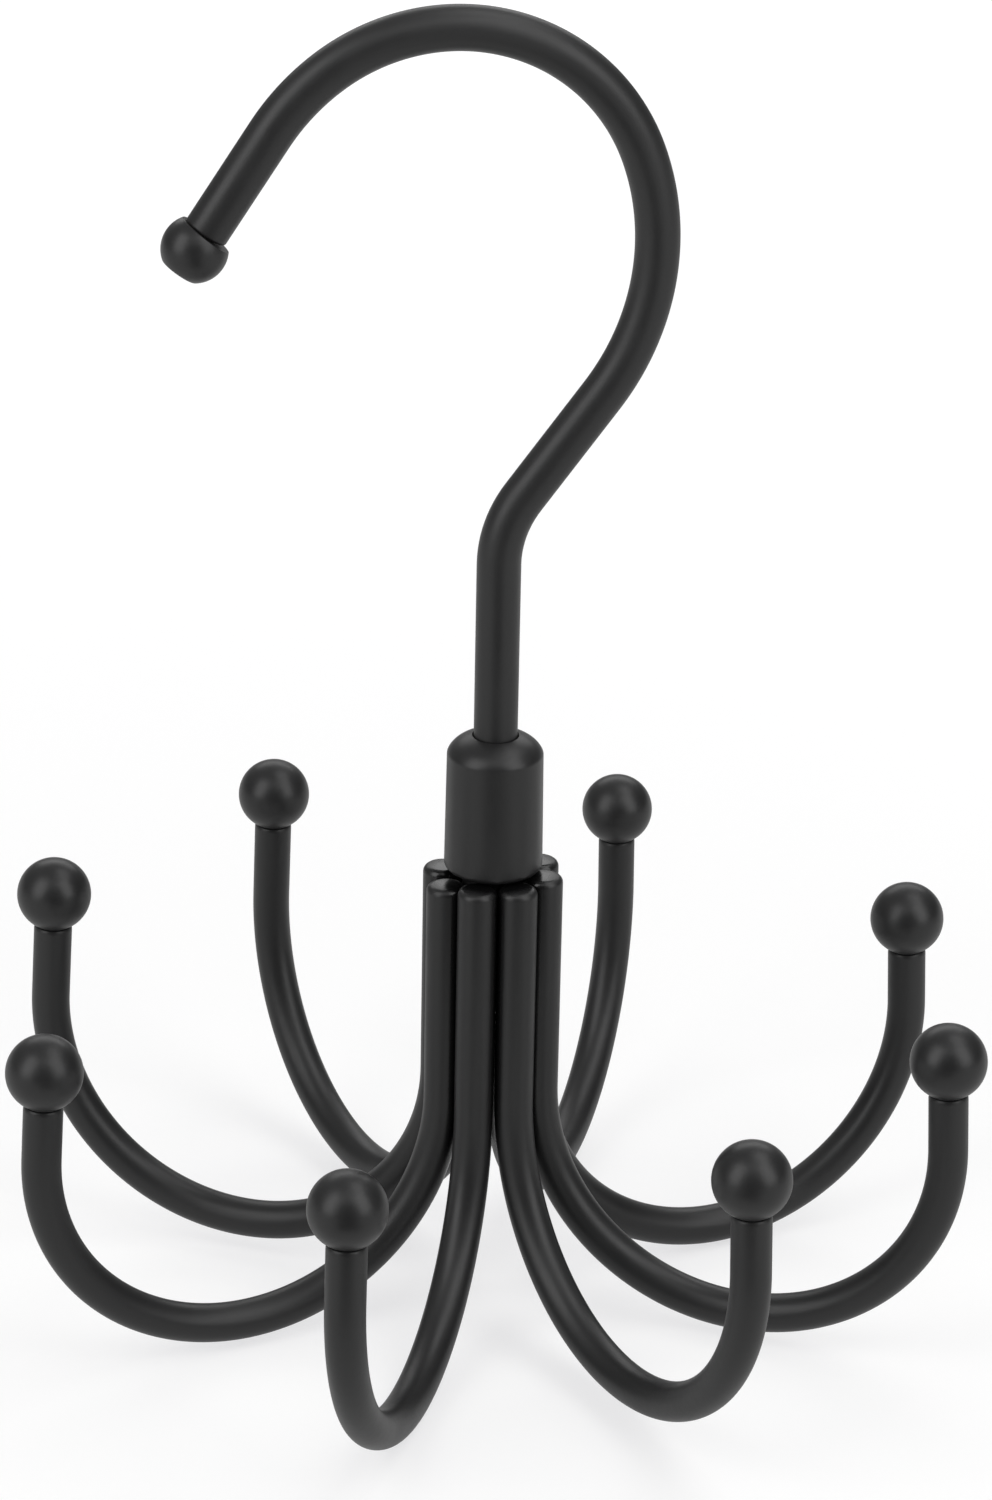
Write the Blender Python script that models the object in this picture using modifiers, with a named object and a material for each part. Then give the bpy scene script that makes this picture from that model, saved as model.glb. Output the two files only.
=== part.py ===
# Rotating closet hanger: a swan-neck hook that turns in a barrel over a ring of eight ball-ended J arms
# Metres, +Z up. The origin is on the swivel's axis, level with the lowest foot of the arms.
# The hook lies in the XZ plane with its tip towards -X.

import math

import bpy

# Clearances; the stems stand closer to each other, since they are welded side by side
GAP = 0.0003
STEM_GAP = 0.00015
END_PLAY = 0.0005
MERGE_DISTANCE = 0.00001

# Arms: round wire, a straight stem and one wide bend each, standing in a ring
ARM_COUNT = 8
ARM_WIRE_DIAMETER = 0.005
ARM_STEM_LENGTH = 0.0319
ARM_BEND_RADIUS = 0.0275
ARM_BEND_SWEEP = math.radians(183)
ARM_FOOT_LENGTH = 0.005
ARM_TOP_ROUNDING = 0.0009
ARM_END_CHAMFER = 0.0005
ARM_TENON_DIAMETER = 0.0024
ARM_TENON_LENGTH = 0.003
ARM_TENON_CHAMFER = 0.0003
FIRST_ARM_ANGLE = math.radians(16.5)

# The arms are bent and set by hand: each is turned a little on its own stem, its foot stands a little
# above the lowest one, its stem ends a little below the highest one, and its tip has its own length
ARM_TURNS_DEGREES = (-5, 0, 2, -1, -4, 1, 3, -3)
ARM_LIFTS = (0.0004, 0.0008, 0.0012, 0.0021, 0.0008, 0, 0.0018, 0.0016)
ARM_TOP_DROPS = (0.0001, 0.0004, 0.0005, 0.0005, 0.0009, 0, 0, 0)
ARM_TIP_LENGTHS = (0.0074, 0.0072, 0.0108, 0.0099, 0.0071, 0.0075, 0.0072, 0.0076)

# Balls on the arms, drilled for the tenons
BALL_DIAMETER = 0.0097
DRILL_POINT_ANGLE = math.radians(59)

# Swivel barrel: a turned shell with a domed roof, a little wider at its base
BARREL_TOP_DIAMETER = 0.0122
BARREL_BASE_DIAMETER = 0.01255
BARREL_LENGTH = 0.0183
BARREL_DOME_RISE = 0.0042
BARREL_ROOF_DEPTH = 0.005
BARREL_BASE_ROUNDING = 0.0009
BARREL_STAND_OFF = 0.0003

# Core pin: pressed into the barrel from below, with the stems welded round it
CORE_DEPTH_IN_RING = 0.019
CORE_CHAMFER = 0.0004

# Top hook: wire bent into a neck and a loop of three radii
HOOK_WIRE_DIAMETER = 0.0055
HOOK_SHANK_LENGTH = 0.0231
NECK_BEND_RADIUS = 0.0145
NECK_BEND_SWEEP = math.radians(-37)
NECK_STRAIGHT_LENGTH = 0.016
LOOP_ENTRY_RADIUS = 0.032
LOOP_ENTRY_SWEEP = math.radians(58)
LOOP_CROWN_RADIUS = 0.0254
LOOP_CROWN_SWEEP = math.radians(105.5)
LOOP_EXIT_RADIUS = 0.0288
LOOP_EXIT_SWEEP = math.radians(20)
HOOK_TIP_LENGTH = 0.0142
HOOK_TIP_CHAMFER = 0.0003
HOOK_TENON_DIAMETER = 0.003
HOOK_TENON_LENGTH = 0.0032
HOOK_TENON_CHAMFER = 0.0003

# Ball on the hook's tip, cut flat where the wire enters and at its far end
TIP_BALL_DIAMETER = 0.0082
TIP_BALL_SEAT_OFFSET = 0.0022
TIP_BALL_NOSE_OFFSET = 0.0034

# Retaining pieces inside the barrel
WASHER_DIAMETER = 0.0078
WASHER_THICKNESS = 0.0008
COLLAR_DIAMETER = 0.0076
COLLAR_LENGTH = 0.004
COLLAR_CHAMFER = 0.0003
RIVET_SHANK_DIAMETER = 0.0032
RIVET_HEAD_DIAMETER = 0.0050
RIVET_HEAD_THICKNESS = 0.0010

# The slope of a shoulder, so that a wire's step in radius keeps a clean ring
SHOULDER_RISE = 0.00005

# Facets
ARM_SIDES_LEVEL = 4
HOOK_SIDES_LEVEL = 6
BEND_STEP = math.radians(10.5)
LOOP_STEP = math.radians(7.5)
TOP_ROUNDING_STEPS = 2
BALL_STEPS = 20
BALL_ARC_STEPS = 9
TIP_BALL_ARC_STEPS = 7
BARREL_STEPS = 40
DOME_STEPS = 7
BASE_ROUNDING_STEPS = 3
INNER_STEPS = 32

QUARTER_TURN = math.pi / 2
FULL_TURN = 2 * math.pi


def bevel_sides(level):
    """How many sides a curve's round bevel has at a bevel resolution."""
    return 4 + 2 * level


def bore_radius(shaft_radius, steps):
    """Radius of a faceted bore whose flats clear a shaft by the gap."""
    return (shaft_radius + GAP) / math.cos(math.pi / steps)


# Radii and places that follow from the driving sizes
arm_radius = ARM_WIRE_DIAMETER / 2
arm_sides = bevel_sides(ARM_SIDES_LEVEL)
arm_pitch = FULL_TURN / ARM_COUNT
ring_radius = (ARM_WIRE_DIAMETER + STEM_GAP) / (2 * math.sin(arm_pitch / 2))
core_radius = ring_radius - arm_radius - GAP
cavity_radius = bore_radius(core_radius, BARREL_STEPS)

foot_half_angle = math.asin(ARM_FOOT_LENGTH / (2 * ARM_BEND_RADIUS))
foot_line_z = arm_radius * math.cos(math.pi / arm_sides)
stem_top_z = foot_line_z + ARM_BEND_RADIUS * math.cos(foot_half_angle) + ARM_STEM_LENGTH

hook_radius = HOOK_WIRE_DIAMETER / 2
shank_hole_radius = bore_radius(hook_radius, BARREL_STEPS)
barrel_base_z = stem_top_z + BARREL_STAND_OFF
barrel_top_z = barrel_base_z + BARREL_LENGTH
barrel_roof_z = barrel_top_z - BARREL_ROOF_DEPTH
washer_top_z = barrel_roof_z - GAP
washer_base_z = washer_top_z - WASHER_THICKNESS
collar_top_z = washer_base_z - GAP
shank_shoulder_z = collar_top_z + GAP
collar_base_z = collar_top_z - COLLAR_LENGTH
rivet_top_z = collar_base_z - GAP
rivet_base_z = rivet_top_z - RIVET_HEAD_THICKNESS
core_top_z = rivet_base_z - END_PLAY
core_base_z = stem_top_z - CORE_DEPTH_IN_RING


class BentWire:
    """A wire's centre line in the XZ plane, with the wire's radius at each point."""

    def __init__(self, x, z, heading, radius):
        self.x = x
        self.z = z
        self.heading = heading
        self.points = [(x, z, radius)]

    def straight(self, length, radius):
        """Runs straight on and ends at the given wire radius."""
        self.x += length * math.cos(self.heading)
        self.z += length * math.sin(self.heading)
        self.points.append((self.x, self.z, radius))

    def bend(self, bend_radius, sweep, steps, radius):
        """Follows an arc in equal chords; a positive sweep turns left."""
        half_step = sweep / steps / 2
        chord = 2 * bend_radius * math.sin(abs(half_step))
        for _ in range(steps):
            self.heading += half_step
            self.straight(chord, radius)
            self.heading += half_step

    def rounded_start(self, rounding, radius, steps):
        """Grows from a rounded end face to the full radius; the first point is the face."""
        self.points = []
        start_x, start_z = self.x, self.z
        for step in range(steps + 1):
            angle = QUARTER_TURN * step / steps
            along = rounding * (1 - math.cos(angle))
            self.x = start_x + along * math.cos(self.heading)
            self.z = start_z + along * math.sin(self.heading)
            self.points.append((self.x, self.z, radius - rounding + rounding * math.sin(angle)))


def bend_steps(sweep, step):
    """Whole chords for a sweep, each about one step."""
    return max(2, round(abs(sweep) / step))


def new_collection(name):
    """A collection linked to the scene."""
    collection = bpy.data.collections.new(name)
    bpy.context.scene.collection.children.link(collection)
    return collection


def coat(name, colour, roughness, metallic):
    """A Principled material."""
    material = bpy.data.materials.new(name)
    material.use_nodes = True
    shader = material.node_tree.nodes["Principled BSDF"]
    shader.inputs["Base Color"].default_value = (*colour, 1)
    shader.inputs["Roughness"].default_value = roughness
    shader.inputs["Metallic"].default_value = metallic
    material.diffuse_color = (*colour, 1)
    return material


def wire_piece(name, wire, sides_level, material, collection):
    """A capped tube along a bent wire, with a flat side on the inside and outside of its bends."""
    depth = max(radius for _, _, radius in wire.points)
    curve = bpy.data.curves.new(name, "CURVE")
    curve.dimensions = "3D"
    curve.bevel_depth = depth
    curve.bevel_resolution = sides_level
    curve.use_fill_caps = True
    spline = curve.splines.new("POLY")
    spline.points.add(len(wire.points) - 1)
    for point, (x, z, radius) in zip(spline.points, wire.points):
        point.co = (x, 0, z, 1)
        point.radius = radius / depth
        point.tilt = math.pi / bevel_sides(sides_level)
    spline.use_smooth = True
    piece = bpy.data.objects.new(name, curve)
    curve.materials.append(material)
    collection.objects.link(piece)
    return piece


def turned_piece(name, profile, closed, steps, material, collection):
    """A profile of (radius, height) turned about the object's own Z axis."""
    count = len(profile)
    edges = [(index, index + 1) for index in range(count - 1)]
    if closed:
        edges.append((count - 1, 0))
    mesh = bpy.data.meshes.new(name)
    mesh.from_pydata([(radius, 0, height) for radius, height in profile], edges, [])
    mesh.materials.append(material)
    piece = bpy.data.objects.new(name, mesh)
    collection.objects.link(piece)
    screw = piece.modifiers.new("turned", "SCREW")
    screw.axis = "Z"
    screw.angle = FULL_TURN
    screw.steps = steps
    screw.render_steps = steps
    screw.use_merge_vertices = True
    screw.merge_threshold = MERGE_DISTANCE
    screw.use_smooth_shade = True
    return piece


def arc_profile(centre_radius, centre_height, across, up, start, end, steps):
    """Points of an elliptic arc, by angle from straight up, outwards and down."""
    points = []
    for step in range(steps + 1):
        angle = start + (end - start) * step / steps
        points.append((centre_radius + across * math.sin(angle), centre_height + up * math.cos(angle)))
    return points


def arm_wire(lift, top_drop, tip_length):
    """One arm in its own plane: X runs out from the stem's axis."""
    end_radius = arm_radius - ARM_END_CHAMFER
    tenon_radius = ARM_TENON_DIAMETER / 2
    wire = BentWire(0, stem_top_z - top_drop, -QUARTER_TURN, arm_radius)
    wire.rounded_start(ARM_TOP_ROUNDING, arm_radius, TOP_ROUNDING_STEPS)
    wire.straight(ARM_STEM_LENGTH - top_drop - lift - ARM_TOP_ROUNDING, arm_radius)
    falling_sweep = QUARTER_TURN - foot_half_angle
    rising_sweep = ARM_BEND_SWEEP - QUARTER_TURN - foot_half_angle
    wire.bend(ARM_BEND_RADIUS, falling_sweep, bend_steps(falling_sweep, BEND_STEP), arm_radius)
    wire.bend(ARM_BEND_RADIUS, 2 * foot_half_angle, 1, arm_radius)
    wire.bend(ARM_BEND_RADIUS, rising_sweep, bend_steps(rising_sweep, BEND_STEP), arm_radius)
    wire.straight(tip_length - ARM_END_CHAMFER, arm_radius)
    wire.straight(ARM_END_CHAMFER, end_radius)
    wire.straight(SHOULDER_RISE, tenon_radius)
    wire.straight(ARM_TENON_LENGTH - SHOULDER_RISE - ARM_TENON_CHAMFER, tenon_radius)
    wire.straight(ARM_TENON_CHAMFER, tenon_radius - ARM_TENON_CHAMFER)
    return wire


def hook_wire():
    """The top hook from its riveted end, up the shank and round to the tenon at its tip."""
    rivet_radius = RIVET_SHANK_DIAMETER / 2
    head_radius = RIVET_HEAD_DIAMETER / 2
    tenon_radius = HOOK_TENON_DIAMETER / 2
    wire = BentWire(0, rivet_base_z, QUARTER_TURN, head_radius - COLLAR_CHAMFER)
    wire.straight(COLLAR_CHAMFER, head_radius)
    wire.straight(RIVET_HEAD_THICKNESS - COLLAR_CHAMFER - SHOULDER_RISE, head_radius)
    wire.straight(SHOULDER_RISE, rivet_radius)
    wire.straight(shank_shoulder_z - SHOULDER_RISE - rivet_top_z, rivet_radius)
    wire.straight(SHOULDER_RISE, hook_radius)
    wire.straight(barrel_top_z + HOOK_SHANK_LENGTH - shank_shoulder_z, hook_radius)
    neck_steps = bend_steps(NECK_BEND_SWEEP, LOOP_STEP)
    wire.bend(NECK_BEND_RADIUS, NECK_BEND_SWEEP, neck_steps, hook_radius)
    wire.straight(NECK_STRAIGHT_LENGTH, hook_radius)
    for bend_radius, sweep in (
        (LOOP_ENTRY_RADIUS, LOOP_ENTRY_SWEEP),
        (LOOP_CROWN_RADIUS, LOOP_CROWN_SWEEP),
        (LOOP_EXIT_RADIUS, LOOP_EXIT_SWEEP),
    ):
        wire.bend(bend_radius, sweep, bend_steps(sweep, LOOP_STEP), hook_radius)
    wire.straight(HOOK_TIP_LENGTH - HOOK_TIP_CHAMFER, hook_radius)
    wire.straight(HOOK_TIP_CHAMFER, hook_radius - HOOK_TIP_CHAMFER)
    wire.straight(SHOULDER_RISE, tenon_radius)
    wire.straight(HOOK_TENON_LENGTH - SHOULDER_RISE - HOOK_TENON_CHAMFER, tenon_radius)
    wire.straight(HOOK_TENON_CHAMFER, tenon_radius - HOOK_TENON_CHAMFER)
    return wire


def drilled_ball_profile(radius, nose_offset, seat_offset, drill_radius, drill_depth, steps):
    """A ball from its nose down to a flat seat, with a drilled blind hole up from the seat."""
    start = math.acos(nose_offset / radius)
    end = math.pi - math.acos(seat_offset / radius)
    profile = arc_profile(0, 0, radius, radius, start, end, steps)
    if start > 0:
        profile.insert(0, (0, nose_offset))
    hole_top = drill_depth - seat_offset
    profile.append((drill_radius, -seat_offset))
    profile.append((drill_radius, hole_top))
    profile.append((0, hole_top + drill_radius / math.tan(DRILL_POINT_ANGLE)))
    return profile


def seat_ball(ball, wire, tenon_length, seat_offset):
    """Puts a ball on a wire's tenon, its seat one gap past the wire's shoulder."""
    reach = seat_offset + GAP - tenon_length
    end_x, end_z, _ = wire.points[-1]
    ball.location = (
        end_x + reach * math.cos(wire.heading),
        0,
        end_z + reach * math.sin(wire.heading),
    )
    ball.rotation_euler = (0, QUARTER_TURN - wire.heading, 0)


def build_arms(wire_material, ball_material, collection):
    """The ring of arms, each with its ball."""
    ball_radius = BALL_DIAMETER / 2
    seat_radius = arm_radius - ARM_END_CHAMFER
    seat_offset = math.sqrt(ball_radius**2 - seat_radius**2)
    drill_radius = bore_radius(ARM_TENON_DIAMETER / 2, BALL_STEPS)
    ball_profile = drilled_ball_profile(
        ball_radius, ball_radius, seat_offset, drill_radius, ARM_TENON_LENGTH + GAP, BALL_ARC_STEPS
    )
    for index in range(ARM_COUNT):
        angle = FIRST_ARM_ANGLE + index * arm_pitch
        turn = math.radians(ARM_TURNS_DEGREES[index % len(ARM_TURNS_DEGREES)])
        lift = ARM_LIFTS[index % len(ARM_LIFTS)]
        top_drop = ARM_TOP_DROPS[index % len(ARM_TOP_DROPS)]
        wire = arm_wire(lift, top_drop, ARM_TIP_LENGTHS[index % len(ARM_TIP_LENGTHS)])
        number = index + 1
        arm = wire_piece(f"arm_{number}", wire, ARM_SIDES_LEVEL, wire_material, collection)
        arm.location = (ring_radius * math.cos(angle), ring_radius * math.sin(angle), 0)
        arm.rotation_euler = (0, 0, angle + turn)
        ball = turned_piece(
            f"arm_ball_{number}", ball_profile, False, BALL_STEPS, ball_material, collection
        )
        seat_ball(ball, wire, ARM_TENON_LENGTH, seat_offset)
        ball.parent = arm


def build_barrel(material, collection):
    """The turned shell: dome, tapered side, rounded base, cavity and shank hole."""
    top_radius = BARREL_TOP_DIAMETER / 2
    base_radius = BARREL_BASE_DIAMETER / 2
    hole_angle = math.asin(shank_hole_radius / top_radius)
    dome_base_z = barrel_top_z - BARREL_DOME_RISE * math.cos(hole_angle)
    dome = arc_profile(
        0, dome_base_z, top_radius, BARREL_DOME_RISE, hole_angle, QUARTER_TURN, DOME_STEPS
    )
    base = arc_profile(
        base_radius - BARREL_BASE_ROUNDING,
        barrel_base_z + BARREL_BASE_ROUNDING,
        BARREL_BASE_ROUNDING,
        BARREL_BASE_ROUNDING,
        QUARTER_TURN,
        math.pi,
        BASE_ROUNDING_STEPS,
    )
    inside = [
        (cavity_radius, barrel_base_z),
        (cavity_radius, barrel_roof_z),
        (shank_hole_radius, barrel_roof_z),
    ]
    return turned_piece("swivel_barrel", dome + base + inside, True, BARREL_STEPS, material, collection)


def build_core_pin(material, collection):
    """The bar that closes the barrel and holds the stems."""
    profile = [
        (0, core_top_z),
        (core_radius - CORE_CHAMFER, core_top_z),
        (core_radius, core_top_z - CORE_CHAMFER),
        (core_radius, core_base_z + CORE_CHAMFER),
        (core_radius - CORE_CHAMFER, core_base_z),
        (0, core_base_z),
    ]
    return turned_piece("core_pin", profile, False, INNER_STEPS, material, collection)


def ring_profile(inner_radius, outer_radius, top_z, base_z, chamfer):
    """A ring's section, its outer corners chamfered."""
    return [
        (outer_radius - chamfer, top_z),
        (outer_radius, top_z - chamfer),
        (outer_radius, base_z + chamfer),
        (outer_radius - chamfer, base_z),
        (inner_radius, base_z),
        (inner_radius, top_z),
    ]


def build_hook(coats, collection):
    """The turning pieces, hung from one empty on the swivel's axis."""
    axis = bpy.data.objects.new("swivel_axis", None)
    axis.location = (0, 0, barrel_top_z)
    collection.objects.link(axis)
    wire = hook_wire()
    hook = wire_piece("hanger_hook", wire, HOOK_SIDES_LEVEL, coats["hook"], collection)
    ball_radius = TIP_BALL_DIAMETER / 2
    drill_radius = bore_radius(HOOK_TENON_DIAMETER / 2, BALL_STEPS)
    ball_profile = drilled_ball_profile(
        ball_radius,
        TIP_BALL_NOSE_OFFSET,
        TIP_BALL_SEAT_OFFSET,
        drill_radius,
        HOOK_TENON_LENGTH + GAP,
        TIP_BALL_ARC_STEPS,
    )
    ball = turned_piece("hook_tip_ball", ball_profile, False, BALL_STEPS, coats["ball"], collection)
    seat_ball(ball, wire, HOOK_TENON_LENGTH, TIP_BALL_SEAT_OFFSET)
    washer = turned_piece(
        "thrust_washer",
        ring_profile(
            bore_radius(hook_radius, INNER_STEPS),
            WASHER_DIAMETER / 2,
            washer_top_z,
            washer_base_z,
            WASHER_THICKNESS / 4,
        ),
        True,
        INNER_STEPS,
        coats["washer"],
        collection,
    )
    collar = turned_piece(
        "shank_collar",
        ring_profile(
            bore_radius(RIVET_SHANK_DIAMETER / 2, INNER_STEPS),
            COLLAR_DIAMETER / 2,
            collar_top_z,
            collar_base_z,
            COLLAR_CHAMFER,
        ),
        True,
        INNER_STEPS,
        coats["collar"],
        collection,
    )
    for piece in (hook, ball, washer, collar):
        piece.location -= axis.location
        piece.parent = axis


def main():
    """Clears the scene and builds every piece."""
    for old in list(bpy.data.objects):
        bpy.data.objects.remove(old)
    collection = new_collection("rotating_closet_hook")
    black = (0.032, 0.032, 0.033)
    coats = {
        "hook": coat("hook_black_coat", black, 0.5, 0),
        "ball": coat("ball_black_coat", black, 0.5, 0),
        "barrel": coat("barrel_black_coat", black, 0.5, 0),
        "arm": coat("arm_black_coat", black, 0.5, 0),
        "core": coat("core_black_coat", black, 0.5, 0),
        "washer": coat("washer_zinc", (0.55, 0.56, 0.58), 0.35, 1),
        "collar": coat("collar_steel", (0.42, 0.42, 0.43), 0.4, 1),
    }
    build_barrel(coats["barrel"], collection)
    build_core_pin(coats["core"], collection)
    build_arms(coats["arm"], coats["ball"], collection)
    build_hook(coats, collection)


main()
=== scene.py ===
# Rotating closet hook, dressed for its picture
# Bent wires, a turned barrel and balls, all in matte black powder coat
# Everything is in metres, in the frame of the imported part

import math

import bmesh
import bpy
from mathutils import Matrix, Vector


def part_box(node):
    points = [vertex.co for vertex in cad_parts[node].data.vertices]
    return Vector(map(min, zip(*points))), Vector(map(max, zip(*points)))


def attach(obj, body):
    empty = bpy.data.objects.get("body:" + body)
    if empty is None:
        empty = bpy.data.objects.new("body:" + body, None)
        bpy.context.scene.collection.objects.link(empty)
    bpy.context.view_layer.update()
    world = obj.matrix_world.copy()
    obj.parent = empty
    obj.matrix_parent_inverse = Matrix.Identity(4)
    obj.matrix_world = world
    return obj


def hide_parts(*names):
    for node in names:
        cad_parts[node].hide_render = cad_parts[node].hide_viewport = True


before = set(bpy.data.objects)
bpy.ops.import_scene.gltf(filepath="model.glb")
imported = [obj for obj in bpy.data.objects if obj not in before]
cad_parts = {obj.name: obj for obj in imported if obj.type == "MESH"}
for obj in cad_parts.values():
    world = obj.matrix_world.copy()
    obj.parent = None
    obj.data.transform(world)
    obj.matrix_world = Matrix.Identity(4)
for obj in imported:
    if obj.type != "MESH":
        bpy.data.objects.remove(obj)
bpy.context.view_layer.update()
print("frame loaded,", len(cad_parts), "nodes")

quarterTurn = math.pi / 2
fullTurn = 2 * math.pi


# Node helpers

def addNode(tree, kind, **values):
    node = tree.nodes.new(kind)
    for key, value in values.items():
        setattr(node, key, value)
    return node


def feed(tree, socket, given):
    # Links another node's output to the socket, or sets a plain value on it
    if isinstance(given, bpy.types.NodeSocket):
        tree.links.new(given, socket)
    else:
        socket.default_value = given


def addMath(tree, operation, first, second):
    node = addNode(tree, "ShaderNodeMath", operation=operation)
    feed(tree, node.inputs[0], first)
    feed(tree, node.inputs[1], second)
    return node.outputs["Value"]


def addVectorMath(tree, operation, output, *vectors):
    node = addNode(tree, "ShaderNodeVectorMath", operation=operation)
    for socket, vector in zip(node.inputs, vectors):
        feed(tree, socket, vector)
    return node.outputs[output]


def addRange(tree, value, fromEnds=(0, 1), toEnds=(0, 1), smoothing="LINEAR"):
    # Carries a value over from one pair of ends to another, and stops at both ends
    node = addNode(tree, "ShaderNodeMapRange", interpolation_type=smoothing)
    feed(tree, node.inputs["Value"], value)
    for label, end in zip(("From Min", "From Max", "To Min", "To Max"), (*fromEnds, *toEnds)):
        feed(tree, node.inputs[label], end)
    return node.outputs["Result"]


def objectPlace(tree):
    return addNode(tree, "ShaderNodeTexCoord").outputs["Object"]


def makeGroup(name, inputs, outputs):
    group = bpy.data.node_groups.new(name, "ShaderNodeTree")
    for label, kind in inputs:
        group.interface.new_socket(name=label, in_out="INPUT", socket_type=kind)
    for label, kind in outputs:
        group.interface.new_socket(name=label, in_out="OUTPUT", socket_type=kind)
    return group, addNode(group, "NodeGroupInput"), addNode(group, "NodeGroupOutput")


# Powder coat: fine grain on a slow orange peel, with a little drift in tone and gloss

coatPattern = {
    "driftScale": 140,
    "driftDetail": 3,
    "peelDetail": 1,
    "grainDetail": 2,
    "driftShare": 0.6,  # of the gloss; the rest of it follows the grain
    "glossEnds": (0.3, 0.7),
}


def makeCoatSkin():
    group, given, made = makeGroup(
        "coatSkin",
        [
            ("Vector", "NodeSocketVector"),
            ("Dark", "NodeSocketColor"),
            ("Light", "NodeSocketColor"),
            ("Smooth", "NodeSocketFloat"),
            ("Rough", "NodeSocketFloat"),
            ("Peel Scale", "NodeSocketFloat"),
            ("Grain Scale", "NodeSocketFloat"),
            ("Grain Share", "NodeSocketFloat"),
        ],
        [
            ("Color", "NodeSocketColor"),
            ("Roughness", "NodeSocketFloat"),
            ("Height", "NodeSocketFloat"),
        ],
    )

    def addNoise(scale, detail):
        noise = addNode(group, "ShaderNodeTexNoise")
        feed(group, noise.inputs["Vector"], given.outputs["Vector"])
        feed(group, noise.inputs["Scale"], scale)
        feed(group, noise.inputs["Detail"], detail)
        return noise.outputs["Fac"]

    drift = addNoise(coatPattern["driftScale"], coatPattern["driftDetail"])
    peel = addNoise(given.outputs["Peel Scale"], coatPattern["peelDetail"])
    grain = addNoise(given.outputs["Grain Scale"], coatPattern["grainDetail"])

    tone = addNode(group, "ShaderNodeMix", data_type="RGBA")
    feed(group, tone.inputs["Factor"], drift)
    feed(group, tone.inputs["A"], given.outputs["Dark"])
    feed(group, tone.inputs["B"], given.outputs["Light"])
    feed(group, made.inputs["Color"], tone.outputs["Result"])

    slow = addMath(group, "MULTIPLY", drift, coatPattern["driftShare"])
    fine = addMath(group, "MULTIPLY", grain, 1 - coatPattern["driftShare"])
    mixed = addMath(group, "ADD", slow, fine)
    toEnds = (given.outputs["Smooth"], given.outputs["Rough"])
    gloss = addRange(group, mixed, coatPattern["glossEnds"], toEnds)
    feed(group, made.inputs["Roughness"], gloss)

    height = addNode(group, "ShaderNodeMix", data_type="FLOAT")
    feed(group, height.inputs["Factor"], given.outputs["Grain Share"])
    feed(group, height.inputs["A"], peel)
    feed(group, height.inputs["B"], grain)
    feed(group, made.inputs["Height"], height.outputs["Result"])
    return group


# Marks of the cutting tool, as fine rings round the swivel's axis

ringPattern = {
    "distortion": 1.5,
    "detail": 2,
}


def makeToolRings():
    group, given, made = makeGroup(
        "toolRings",
        [
            ("Vector", "NodeSocketVector"),
            ("Ring Scale", "NodeSocketFloat"),
            ("Smooth", "NodeSocketFloat"),
            ("Rough", "NodeSocketFloat"),
        ],
        [("Roughness", "NodeSocketFloat"), ("Height", "NodeSocketFloat")],
    )
    rings = addNode(group, "ShaderNodeTexWave", wave_type="RINGS", rings_direction="Z")
    feed(group, rings.inputs["Vector"], given.outputs["Vector"])
    feed(group, rings.inputs["Scale"], given.outputs["Ring Scale"])
    feed(group, rings.inputs["Distortion"], ringPattern["distortion"])
    feed(group, rings.inputs["Detail"], ringPattern["detail"])
    toEnds = (given.outputs["Smooth"], given.outputs["Rough"])
    feed(group, made.inputs["Roughness"], addRange(group, rings.outputs["Fac"], toEnds=toEnds))
    feed(group, made.inputs["Height"], rings.outputs["Fac"])
    return group


coatSkin = makeCoatSkin()
toolRings = makeToolRings()

wireCoat = {
    "dark": (0.0105, 0.0105, 0.0108),
    "light": (0.0134, 0.0134, 0.0137),
    "smooth": 0.36,
    "rough": 0.47,
    "ior": 1.45,
    "peelScale": 800,
    "grainScale": 5200,
    "grainShare": 0.35,
    "bumpDepth": 0.00002,
    "bumpStrength": 1,
}
# Painted light: the hook's coat is the arms' coat made a little lighter, standing in for the
# brighter light on the hook
litHookCoat = dict(wireCoat, dark=(0.0125, 0.0125, 0.0128), light=(0.0158, 0.0158, 0.0161), rough=0.48)
ballCoat = dict(wireCoat, smooth=0.35, rough=0.43, peelScale=650)
barrelCoat = dict(wireCoat, smooth=0.35, rough=0.44, peelScale=650)
# Painted shade between the stems: a dark colour and low roughness close to the axis
grooveShade = {
    "insideRadius": 0.0069,
    "outsideRadius": 0.0087,
    "colour": (0.003, 0.003, 0.0031),
    "roughness": 0.2,
}
collarSteel = {
    "colour": (0.42, 0.42, 0.43),
    "ringScale": 2600,
    "smooth": 0.3,
    "rough": 0.5,
    "bumpDepth": 0.000008,
    "bumpStrength": 0.4,
}
washerZinc = {
    "colour": (0.55, 0.56, 0.58),
    "ringScale": 1800,
    "smooth": 0.28,
    "rough": 0.42,
    "bumpDepth": 0.000005,
    "bumpStrength": 0.4,
}


def newMaterial(name):
    material = bpy.data.materials.new(name)
    material.use_nodes = True
    tree = material.node_tree
    return material, tree, tree.nodes["Principled BSDF"]


def placeGroup(tree, group, values):
    node = addNode(tree, "ShaderNodeGroup", node_tree=group)
    feed(tree, node.inputs["Vector"], objectPlace(tree))
    for label, value in values.items():
        feed(tree, node.inputs[label], value)
    return node


def addBump(tree, height, shader, look):
    bump = addNode(tree, "ShaderNodeBump")
    feed(tree, bump.inputs["Height"], height)
    feed(tree, bump.inputs["Strength"], look["bumpStrength"])
    feed(tree, bump.inputs["Distance"], look["bumpDepth"])
    feed(tree, shader.inputs["Normal"], bump.outputs["Normal"])


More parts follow.
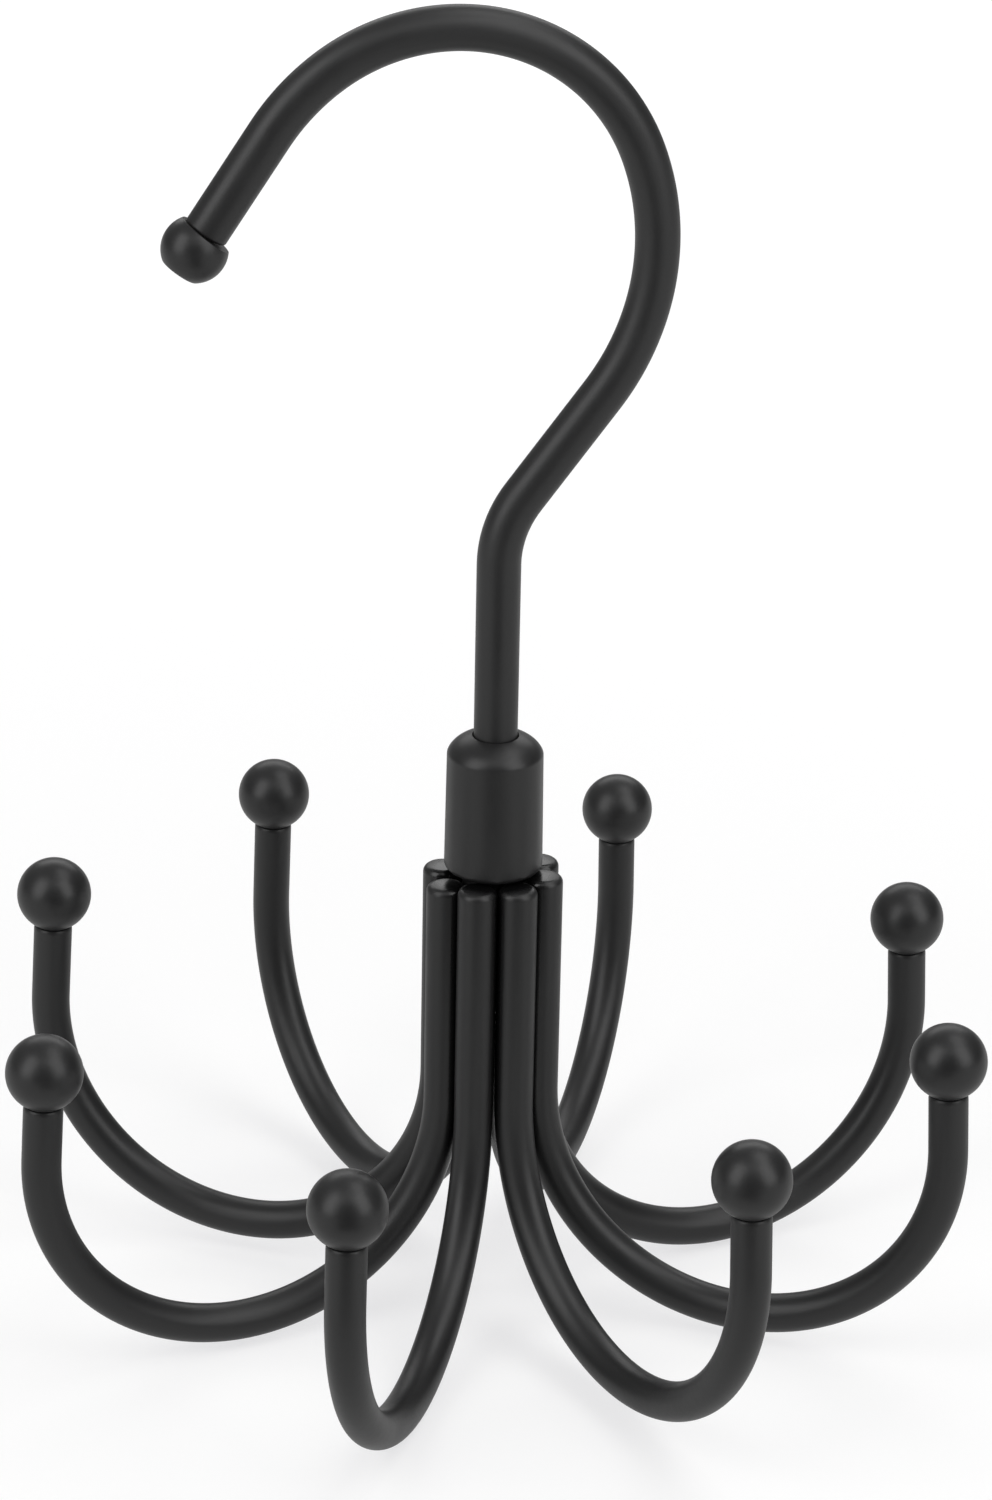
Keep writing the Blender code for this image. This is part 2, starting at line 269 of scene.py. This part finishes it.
def powderCoat(name, look):
    material, tree, shader = newMaterial(name)
    skin = placeGroup(
        tree,
        coatSkin,
        {
            "Dark": (*look["dark"], 1),
            "Light": (*look["light"], 1),
            "Smooth": look["smooth"],
            "Rough": look["rough"],
            "Peel Scale": look["peelScale"],
            "Grain Scale": look["grainScale"],
            "Grain Share": look["grainShare"],
        },
    )
    shader.inputs["IOR"].default_value = look["ior"]
    feed(tree, shader.inputs["Base Color"], skin.outputs["Color"])
    feed(tree, shader.inputs["Roughness"], skin.outputs["Roughness"])
    addBump(tree, skin.outputs["Height"], shader, look)
    material.diffuse_color = (*look["light"], 1)
    return material


def mixUnder(tree, kind, mask, given, socket):
    # Where the mask is 0 the given value shows, and where it is 1 what fed the socket before
    mix = addNode(tree, "ShaderNodeMix", data_type=kind)
    feed(tree, mix.inputs["Factor"], mask)
    feed(tree, mix.inputs["A"], given)
    feed(tree, mix.inputs["B"], socket.links[0].from_socket)
    feed(tree, socket, mix.outputs["Result"])


def paintGrooveShade(material, look):
    # Painted shade in the deep grooves between the stems: near the axis the base colour is made
    # dark and the gloss smoother, standing in for the shade that falls between them
    tree = material.node_tree
    shader = tree.nodes["Principled BSDF"]
    across = addVectorMath(tree, "MULTIPLY", "Vector", objectPlace(tree), (1, 1, 0))
    fromAxis = addVectorMath(tree, "LENGTH", "Value", across)
    radii = (look["insideRadius"], look["outsideRadius"])
    outside = addRange(tree, fromAxis, fromEnds=radii, smoothing="SMOOTHSTEP")
    mixUnder(tree, "RGBA", outside, (*look["colour"], 1), shader.inputs["Base Color"])
    mixUnder(tree, "FLOAT", outside, look["roughness"], shader.inputs["Roughness"])


def turnedMetal(name, look):
    material, tree, shader = newMaterial(name)
    values = {"Ring Scale": look["ringScale"], "Smooth": look["smooth"], "Rough": look["rough"]}
    rings = placeGroup(tree, toolRings, values)
    shader.inputs["Base Color"].default_value = (*look["colour"], 1)
    shader.inputs["Metallic"].default_value = 1
    feed(tree, shader.inputs["Roughness"], rings.outputs["Roughness"])
    addBump(tree, rings.outputs["Height"], shader, look)
    material.diffuse_color = (*look["colour"], 1)
    return material


materials = {
    "hook_coat": powderCoat("hookLitPowderCoat", litHookCoat),
    "arm_coat": powderCoat("armPowderCoat", wireCoat),
    "ball_coat": powderCoat("ballPowderCoat", ballCoat),
    "barrel_coat": powderCoat("barrelPowderCoat", barrelCoat),
    "core_coat": powderCoat("corePowderCoat", wireCoat),
    "collar_steel": turnedMetal("collarSteel", collarSteel),
    "washer_zinc": turnedMetal("washerZinc", washerZinc),
}
paintGrooveShade(materials["arm_coat"], grooveShade)
print("materials made,", len(materials))


# Mesh helpers

meshFinish = {
    "mergeDistance": 0.0000005,
    "cutDistance": 0.0000001,
    "sharpAngle": math.radians(40),
}


def makeMesh(bm, name, material):
    mesh = bpy.data.meshes.new(name)
    bm.to_mesh(mesh)
    bm.free()
    mesh.materials.append(material)
    return mesh


def addObject(name, data):
    item = bpy.data.objects.new(name, data)
    bpy.context.scene.collection.objects.link(item)
    return item


def finishPiece(bm, name, body, node, slot, place=Matrix.Identity(4)):
    bmesh.ops.remove_doubles(bm, verts=bm.verts, dist=meshFinish["mergeDistance"])
    bmesh.ops.transform(bm, matrix=place, verts=bm.verts)
    bmesh.ops.recalc_face_normals(bm, faces=bm.faces)
    mesh = makeMesh(bm, name, materials[slot])
    mesh.shade_smooth()
    mesh.set_sharp_from_angle(angle=meshFinish["sharpAngle"])
    piece = addObject(name, mesh)
    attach(piece, body)
    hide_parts(node)


def edgesOf(found):
    return [item for item in found if isinstance(item, bmesh.types.BMEdge)]


def vertsOf(found):
    return [item for item in found if isinstance(item, bmesh.types.BMVert)]


def arcPoints(middle, across, up, start, end, steps):
    # (radius, height) along an elliptic arc, by angle from straight up, outwards and down
    points = []
    for step in range(steps + 1):
        angle = start + (end - start) * step / steps
        points.append((middle[0] + across * math.sin(angle), middle[1] + up * math.cos(angle)))
    return points


def lathe(profile, steps, closed):
    bm = bmesh.new()
    verts = [bm.verts.new((radius, 0, height)) for radius, height in profile]
    pairs = list(zip(verts, verts[1:]))
    if closed:
        pairs.append((verts[-1], verts[0]))
    edges = [bm.edges.new(pair) for pair in pairs]
    bmesh.ops.spin(
        bm,
        geom=verts + edges,
        cent=(0, 0, 0),
        axis=(0, 0, 1),
        angle=fullTurn,
        steps=steps,
        use_merge=True,
    )
    return bm


class WireBender:
    # Starts a round wire on the Z axis, and bends it in the XZ plane by extruding and spinning
    # its end ring

    def __init__(self, z, heading, radius, sides):
        self.bm = bmesh.new()
        self.at = Vector((0, 0, z))
        self.heading = heading
        self.radius = radius
        place = Matrix.Translation(self.at) @ self.facing()
        bmesh.ops.create_circle(
            self.bm, cap_ends=True, segments=sides, radius=radius, matrix=place
        )
        self.ring = self.bm.edges[:]

    def facing(self):
        # Turns Z to the heading
        return Matrix.Rotation(quarterTurn - self.heading, 4, "Y")

    def ahead(self):
        return Vector((math.cos(self.heading), 0, math.sin(self.heading)))

    def left(self):
        return Vector((-math.sin(self.heading), 0, math.cos(self.heading)))

    def straight(self, length, radius=None):
        # Runs on along the heading, and widens or narrows to a new radius if one is given
        found = bmesh.ops.extrude_edge_only(self.bm, edges=self.ring)["geom"]
        verts = vertsOf(found)
        self.ring = [edge for edge in edgesOf(found) if edge.is_boundary]
        if radius is not None and radius != self.radius:
            share = radius / self.radius
            centred = Matrix.Translation(-self.at)
            bmesh.ops.scale(self.bm, vec=(share, share, share), space=centred, verts=verts)
            self.radius = radius
        bmesh.ops.translate(self.bm, vec=self.ahead() * length, verts=verts)
        self.at += self.ahead() * length

    def bend(self, bendRadius, angle, stepLength):
        # A positive angle turns left, as seen with X to the right and Z up
        middle = self.at + self.left() * math.copysign(bendRadius, angle)
        steps = max(2, math.ceil(abs(angle) * bendRadius / stepLength))
        verts = list(dict.fromkeys(vert for edge in self.ring for vert in edge.verts))
        found = bmesh.ops.spin(
            self.bm,
            geom=verts + self.ring,
            cent=middle,
            axis=(0, -1, 0),
            angle=angle,
            steps=steps,
        )["geom_last"]
        self.ring = edgesOf(found)
        self.heading += angle
        self.at = middle - self.left() * math.copysign(bendRadius, angle)

    def roundOut(self, rounding, steps):
        # From a flat face that is one rounding smaller, out to the full radius
        face = self.radius
        for step in range(1, steps + 1):
            last = quarterTurn * (step - 1) / steps
            angle = quarterTurn * step / steps
            forward = rounding * (math.cos(last) - math.cos(angle))
            self.straight(forward, face + rounding * math.sin(angle))

    def roundIn(self, depth, length, steps):
        # From the full radius in to a flat face that is one depth smaller
        full = self.radius
        for step in range(1, steps + 1):
            last = quarterTurn * (step - 1) / steps
            angle = quarterTurn * step / steps
            forward = length * (math.sin(angle) - math.sin(last))
            self.straight(forward, full - depth * (1 - math.cos(angle)))

    def seat(self, reach):
        # The place of something that sits past the wire's end, its own Z along the wire
        return Matrix.Translation(self.at + self.ahead() * reach) @ self.facing()

    def close(self):
        bmesh.ops.edgeloop_fill(self.bm, edges=self.ring)
        return self.bm


# Arms: a ring of bent wires, each with its own turn, foot height and tip length

armShape = {
    "count": 8,
    "wireRadius": 0.00253,
    "ringGap": 0.00009,
    "bendRadius": 0.0275,
    "bendAngle": math.radians(183),
    "bendStep": 0.0009,
    "topRounding": 0.0009,
    "topSteps": 8,
    "shoulderDepth": 0.0003,
    "shoulderLength": 0.0007,
    "shoulderSteps": 6,
    "tenonRadius": 0.0012,
    "tenonLength": 0.003,
    "firstAngle": math.radians(16.5),
    "turnsDegrees": (-5, 0, 2, -1, -4, 1, 3, -3),
    "lifts": (0.0004, 0.0008, 0.0012, 0.0021, 0.0008, 0, 0.0018, 0.0016),
    "tipLengths": (0.00775, 0.00765, 0.01115, 0.01035, 0.00765, 0.00815, 0.0078, 0.00795),
    "sides": 56,
}
armBall = {
    "radius": 0.0049,
    "seatGap": 0.00005,
    "seatSlope": 0,
    "seatRounding": 0.00008,
    "seatSteps": 4,
    "drillRadius": 0.0014,
    "columns": 72,
    "rows": 48,
}


def cutBall(bm, height, facing, slope=0):
    # Slices the ball off at a height, closes it with a flat face and returns that face's edges
    cut = bmesh.ops.bisect_plane(
        bm,
        geom=bm.verts[:] + bm.edges[:] + bm.faces[:],
        dist=meshFinish["cutDistance"],
        plane_co=(0, 0, height),
        plane_no=(facing * math.sin(slope), 0, facing * math.cos(slope)),
        clear_outer=True,
    )
    rim = edgesOf(cut["geom_cut"])
    bmesh.ops.edgeloop_fill(bm, edges=rim)
    return rim


def roundRim(bm, rim, width, steps):
    bmesh.ops.bevel(
        bm,
        geom=rim,
        offset=width,
        offset_type="OFFSET",
        segments=steps,
        profile=0.5,
        affect="EDGES",
        material=-1,
        clamp_overlap=True,
    )


def makeBall(shape, seatOffset, holeDepth):
    # Its own Z runs from the seat to the nose, with a blind hole drilled up from the seat
    bm = bmesh.new()
    bmesh.ops.create_uvsphere(
        bm, u_segments=shape["columns"], v_segments=shape["rows"], radius=shape["radius"]
    )
    if "noseOffset" in shape:
        rim = cutBall(bm, shape["noseOffset"], 1)
        roundRim(bm, rim, shape["noseRounding"], shape["noseSteps"])
    rim = cutBall(bm, -seatOffset, -1, shape["seatSlope"])
    roundRim(bm, rim, shape["seatRounding"], shape["seatSteps"])
    seat = max(bm.faces, key=lambda face: face.calc_area())
    ledge = max(vert.co.xy.length for vert in seat.verts) - shape["drillRadius"]
    bmesh.ops.inset_region(bm, faces=[seat], thickness=ledge, use_even_offset=True)
    hole = bmesh.ops.extrude_discrete_faces(bm, faces=[seat])["faces"][0]
    bmesh.ops.translate(bm, vec=(0, 0, holeDepth), verts=hole.verts)
    return bm


def buildArm(index):
    shape = armShape
    number = index + 1
    radius = shape["wireRadius"]
    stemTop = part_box(f"arm_{number}")[1].z
    stemLength = stemTop - shape["bendRadius"] - radius - shape["lifts"][index]
    wire = WireBender(stemTop, -quarterTurn, radius - shape["topRounding"], shape["sides"])
    wire.roundOut(shape["topRounding"], shape["topSteps"])
    wire.straight(stemLength - shape["topRounding"])
    wire.bend(shape["bendRadius"], shape["bendAngle"], shape["bendStep"])
    wire.straight(shape["tipLengths"][index] - shape["shoulderLength"])
    wire.roundIn(shape["shoulderDepth"], shape["shoulderLength"], shape["shoulderSteps"])
    seatOffset = math.sqrt(armBall["radius"] ** 2 - wire.radius**2)
    seat = wire.seat(seatOffset + armBall["seatGap"])
    wire.straight(0, shape["tenonRadius"])
    wire.straight(shape["tenonLength"])
    ball = makeBall(armBall, seatOffset, shape["tenonLength"] + armBall["seatGap"])

    pitch = fullTurn / shape["count"]
    ringRadius = (2 * radius + shape["ringGap"]) / (2 * math.sin(pitch / 2))
    angle = shape["firstAngle"] + index * pitch
    turn = math.radians(shape["turnsDegrees"][index])
    stand = Matrix.Translation((ringRadius * math.cos(angle), ringRadius * math.sin(angle), 0))
    place = stand @ Matrix.Rotation(angle + turn, 4, "Z")
    wireName, ballName = f"arm{number}Wire", f"arm{number}Ball"
    finishPiece(wire.close(), wireName, "arm_ring", f"arm_{number}", "arm_coat", place)
    finishPiece(ball, ballName, "arm_ring", f"arm_ball_{number}", "ball_coat", place @ seat)


for armIndex in range(armShape["count"]):
    buildArm(armIndex)
print("arms and balls made,", armShape["count"])


# Barrel: a turned shell, domed on top and a little wider at its base

barrelShape = {
    "topRadius": 0.00614,
    "crestAngle": math.radians(75),
    "crestSlope": math.radians(65),
    "crestRounding": 0.001,
    "baseRadius": 0.0063,
    "baseRounding": 0.0009,
    "holeRadius": 0.00289,
    "holeRounding": 0.0001,
    "roofDepth": 0.005,
    "cavityRadius": 0.00424,
    "domeSteps": 28,
    "crestSteps": 8,
    "baseSteps": 10,
    "steps": 128,
}


def domePoints(shape, topZ):
    # An elliptic dome from the hole's rim down to a soft crest, where it meets the side
    rounding = shape["crestRounding"]
    slope = shape["crestSlope"]
    crest = shape["crestAngle"]
    across = (shape["topRadius"] - rounding * (1 - math.sin(slope))) / math.sin(crest)
    rise = across * math.tan(slope) / math.tan(crest)
    rimAngle = math.asin((shape["holeRadius"] + shape["holeRounding"]) / across)
    middle = (0, topZ - rise * math.cos(rimAngle))
    dome = arcPoints(middle, across, rise, rimAngle, crest, shape["domeSteps"])
    corner = (shape["topRadius"] - rounding, dome[-1][1] - rounding * math.cos(slope))
    soft = arcPoints(corner, rounding, rounding, slope, quarterTurn, shape["crestSteps"])
    return dome + soft[1:]


def buildBarrel():
    shape = barrelShape
    low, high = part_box("swivel_barrel")
    rounding = shape["baseRounding"]
    corner = (shape["baseRadius"] - rounding, low.z + rounding)
    base = arcPoints(corner, rounding, rounding, quarterTurn, math.pi, shape["baseSteps"])
    roofZ = high.z - shape["roofDepth"]
    inside = [
        (shape["cavityRadius"], low.z),
        (shape["cavityRadius"], roofZ),
        (shape["holeRadius"], roofZ),
        (shape["holeRadius"], high.z - shape["holeRounding"]),
    ]
    shell = lathe(domePoints(shape, high.z) + base + inside, shape["steps"], True)
    finishPiece(shell, "barrelShell", "arm_ring", "swivel_barrel", "barrel_coat")


buildBarrel()
print("barrel made")


# Inside the barrel: the core pin that closes it from below, and the washer and collar on the shank

coreShape = {
    "radius": 0.00393,
    "chamfer": 0.0004,
    "steps": 96,
}
washerShape = {
    "bore": 0.00305,
    "radius": 0.0039,
    "rounding": 0.0002,
    "roundingSteps": 4,
    "steps": 96,
}
collarShape = {
    "bore": 0.0019,
    "radius": 0.0038,
    "rounding": 0.0003,
    "roundingSteps": 4,
    "steps": 96,
}


def buildCore():
    shape = coreShape
    low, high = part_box("core_pin")
    radius = shape["radius"]
    chamfer = shape["chamfer"]
    profile = [
        (0, high.z),
        (radius - chamfer, high.z),
        (radius, high.z - chamfer),
        (radius, low.z + chamfer),
        (radius - chamfer, low.z),
        (0, low.z),
    ]
    bar = lathe(profile, shape["steps"], False)
    finishPiece(bar, "coreBar", "arm_ring", "core_pin", "core_coat")


def buildRing(shape, name, node, slot):
    low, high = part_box(node)
    rounding = shape["rounding"]
    steps = shape["roundingSteps"]
    middle = shape["radius"] - rounding
    top = arcPoints((middle, high.z - rounding), rounding, rounding, 0, quarterTurn, steps)
    base = arcPoints((middle, low.z + rounding), rounding, rounding, quarterTurn, math.pi, steps)
    bore = [(shape["bore"], low.z), (shape["bore"], high.z)]
    ring = lathe(top + base + bore, shape["steps"], True)
    finishPiece(ring, name, "top_hook", node, slot)


buildCore()
buildRing(washerShape, "thrustWasher", "thrust_washer", "washer_zinc")
buildRing(collarShape, "shankCollar", "shank_collar", "collar_steel")
print("core pin, washer and collar made")


# Top hook: riveted shank, neck and a loop of three radii

hookShape = {
    "wireRadius": 0.00279,
    "shankLength": 0.0231,
    "rivetHeadRadius": 0.0025,
    "rivetHeadHeight": 0.001,
    "rivetRounding": 0.0003,
    "rivetSteps": 3,
    "rivetShankRadius": 0.0016,
    "neckBendRadius": 0.0145,
    "neckBendAngle": math.radians(-37),
    "neckLength": 0.016,
    "loopBends": ((0.032, 58), (0.0254, 105.5), (0.0288, 20)),  # radius and degrees
    "bendStep": 0.0008,
    "tipLength": 0.0142,
    "tipRounding": 0.0004,
    "tipSteps": 5,
    "tenonRadius": 0.0015,
    "tenonLength": 0.0032,
    "sides": 64,
}
tipBall = {
    "radius": 0.0041,
    "tilt": math.radians(2),
    "seatOffset": 0.0022,
    "seatGap": 0.00007,
    "seatSlope": math.radians(3),
    "seatRounding": 0.0005,
    "seatSteps": 4,
    "noseOffset": 0.0034,
    "noseRounding": 0.0009,
    "noseSteps": 6,
    "drillRadius": 0.0017,
    "columns": 72,
    "rows": 48,
}


def buildHook():
    shape = hookShape
    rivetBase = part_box("hanger_hook")[0].z
    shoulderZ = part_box("thrust_washer")[0].z
    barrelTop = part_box("swivel_barrel")[1].z
    rounding = shape["rivetRounding"]
    wire = WireBender(rivetBase, quarterTurn, shape["rivetHeadRadius"] - rounding, shape["sides"])
    wire.roundOut(rounding, shape["rivetSteps"])
    wire.straight(shape["rivetHeadHeight"] - rounding)
    wire.straight(0, shape["rivetShankRadius"])
    wire.straight(shoulderZ - wire.at.z)
    wire.straight(0, shape["wireRadius"])
    wire.straight(barrelTop + shape["shankLength"] - shoulderZ)
    wire.bend(shape["neckBendRadius"], shape["neckBendAngle"], shape["bendStep"])
    wire.straight(shape["neckLength"])
    for bendRadius, degrees in shape["loopBends"]:
        wire.bend(bendRadius, math.radians(degrees), shape["bendStep"])
    wire.straight(shape["tipLength"] - shape["tipRounding"])
    wire.roundIn(shape["tipRounding"], shape["tipRounding"], shape["tipSteps"])
    tilt = Matrix.Rotation(tipBall["tilt"], 4, "Y")
    seat = wire.seat(tipBall["seatOffset"] + tipBall["seatGap"]) @ tilt
    wire.straight(0, shape["tenonRadius"])
    wire.straight(shape["tenonLength"])
    finishPiece(wire.close(), "hookWire", "top_hook", "hanger_hook", "hook_coat")
    ball = makeBall(tipBall, tipBall["seatOffset"], shape["tenonLength"] + tipBall["seatGap"])
    finishPiece(ball, "hookTipBall", "top_hook", "hook_tip_ball", "ball_coat", seat)


buildHook()
print("hook made")


# Studio: a pale floor, soft boxes in front and overhead, and a wide light behind for the edges

studio = {
    "floorSize": 6,
    "floorColour": (0.315, 0.317, 0.303),
    "floorRoughness": 0.7,
    "floorSpecular": 0.2,
    "floorGlowColour": (0.983, 0.98, 1),
    "floorGlow": 0.46,
    "floorGlowInView": (0.679, 1),
    "floorReach": (0.13, 1.3),
    "surroundColour": (1, 1, 1),
    "surroundInView": 1,
    "surroundFront": 0.04,
    "surroundBack": 0.4,
    "brightSide": (-0.1, 0.5, 0.86),
    "aim": (0, 0, 0.075),
}
softBoxes = {
    "leftSoftBox": {
        "azimuth": -65,
        "elevation": 31,
        "distance": 0.9,
        "size": (0.56, 0.95),
        "power": 4.6,
    },
    "rightSoftBox": {
        "azimuth": 41,
        "elevation": 34,
        "distance": 0.9,
        "size": (0.58, 1.0),
        "power": 4.8,
    },
    "frontTopBox": {
        "azimuth": -12,
        "elevation": 56,
        "distance": 0.38,
        "size": (0.14, 0.22),
        "power": 0.07,
    },
    "overheadBox": {
        "azimuth": 95,
        "elevation": 68,
        "distance": 0.9,
        "size": (0.5, 0.5),
        "power": 1.6,
    },
    "backLight": {
        "azimuth": 168,
        "elevation": 30,
        "distance": 1.3,
        "size": (1.4, 0.5),
        "power": 4,
    },
}
darkCard = {
    "azimuth": -12,
    "height": 0.002,
    "near": 0.13,
    "far": 1.2,
    "nearWidth": 0.12,
    "farWidth": 0.7,
    "colour": (0.085, 0.085, 0.085),
}
shot = {
    "azimuth": -12.04,
    "elevation": 23.31,
    "roll": 1.128,
    "distance": 0.60056,
    "target": (0.00008, -0.00002, 0.07818),
    "lens": 113.8,
    "sensor": 36,
    "clip": (0.01, 20),
}


def viewMatrix(azimuth, elevation, roll, distance, target):
    # Azimuth 0 looks along +Y and 90 along -X
    turned = Matrix.Rotation(math.radians(azimuth), 4, "Z")
    raised = turned @ Matrix.Rotation(quarterTurn - math.radians(elevation), 4, "X")
    rolled = raised @ Matrix.Rotation(math.radians(roll), 4, "Z")
    return Matrix.Translation(target) @ rolled @ Matrix.Translation((0, 0, distance))


def onlyInView(tree, elsewhere, inView):
    # One value for what the camera sees directly, and another for reflected and bounced light
    rays = addNode(tree, "ShaderNodeLightPath")
    return addRange(tree, rays.outputs["Is Camera Ray"], toEnds=(elsewhere, inView))


def stagePiece(bm, name, material):
    piece = addObject(name, makeMesh(bm, name, material))
    return piece


def buildFloor():
    # Its glow in view rises with the distance: the far floor is white, and the near one keeps
    # the pale shadows
    bm = bmesh.new()
    bmesh.ops.create_grid(bm, x_segments=2, y_segments=2, size=studio["floorSize"] / 2)
    material, tree, shader = newMaterial("floorPaper")
    shader.inputs["Base Color"].default_value = (*studio["floorColour"], 1)
    shader.inputs["Roughness"].default_value = studio["floorRoughness"]
    shader.inputs["Specular IOR Level"].default_value = studio["floorSpecular"]
    shader.inputs["Emission Color"].default_value = (*studio["floorGlowColour"], 1)
    reach = addVectorMath(tree, "LENGTH", "Value", objectPlace(tree))
    fade = addRange(tree, reach, studio["floorReach"], studio["floorGlowInView"])
    glow = onlyInView(tree, studio["floorGlow"], fade)
    feed(tree, shader.inputs["Emission Strength"], glow)
    stagePiece(bm, "floor", material)


def buildLights():
    for name, box in softBoxes.items():
        light = bpy.data.lights.new(name, "AREA")
        light.shape = "RECTANGLE"
        light.size, light.size_y = box["size"]
        light.energy = box["power"]
        lamp = addObject(name, light)
        lamp.matrix_world = viewMatrix(
            box["azimuth"], box["elevation"], 0, box["distance"], studio["aim"]
        )
        lamp.visible_camera = False


def buildDarkCard():
    # Lies in front of the object, widens away from it, and is seen only in its reflections: a
    # painted reflection, a dark sheet that darkens what the object mirrors in front
    card = darkCard
    bm = bmesh.new()
    halfWidth = card["nearWidth"] / 2
    ends = [bm.verts.new((x, -card["near"], card["height"])) for x in (-halfWidth, halfWidth)]
    nearEdge = bm.edges.new(ends)
    farEnds = vertsOf(bmesh.ops.extrude_edge_only(bm, edges=[nearEdge])["geom"])
    widening = card["farWidth"] / card["nearWidth"]
    bmesh.ops.scale(bm, vec=(widening, 1, 1), verts=farEnds)
    bmesh.ops.translate(bm, vec=(0, card["near"] - card["far"], 0), verts=farEnds)
    turn = Matrix.Rotation(math.radians(card["azimuth"]), 3, "Z")
    bmesh.ops.rotate(bm, verts=bm.verts, cent=(0, 0, 0), matrix=turn)
    material, tree, shader = newMaterial("cardBlack")
    shader.inputs["Base Color"].default_value = (*card["colour"], 1)
    shader.inputs["Specular IOR Level"].default_value = 0
    piece = stagePiece(bm, "darkCard", material)
    piece.visible_camera = False
    piece.visible_shadow = False
    piece.visible_diffuse = False


def buildSurround():
    # White in view; elsewhere a room that is dark in front and pale above and behind
    world = bpy.data.worlds.new("studioWhite")
    world.use_nodes = True
    tree = world.node_tree
    sky = tree.nodes["Background"]
    sky.inputs["Color"].default_value = (*studio["surroundColour"], 1)
    direction = addNode(tree, "ShaderNodeTexCoord").outputs["Generated"]
    along = addVectorMath(tree, "DOT_PRODUCT", "Value", direction, studio["brightSide"])
    room = addRange(tree, along, toEnds=(studio["surroundFront"], studio["surroundBack"]))
    feed(tree, sky.inputs["Strength"], onlyInView(tree, room, studio["surroundInView"]))
    bpy.context.scene.world = world


def buildCamera():
    camera = bpy.data.cameras.new("photoCamera")
    camera.sensor_width = shot["sensor"]
    camera.lens = shot["lens"]
    camera.clip_start, camera.clip_end = shot["clip"]
    holder = addObject("photoCamera", camera)
    holder.matrix_world = viewMatrix(
        shot["azimuth"], shot["elevation"], shot["roll"], shot["distance"], shot["target"]
    )
    bpy.context.scene.camera = holder


buildFloor()
buildLights()
buildDarkCard()
buildSurround()
buildCamera()
bpy.context.scene.view_settings.view_transform = "Standard"
print("studio made")
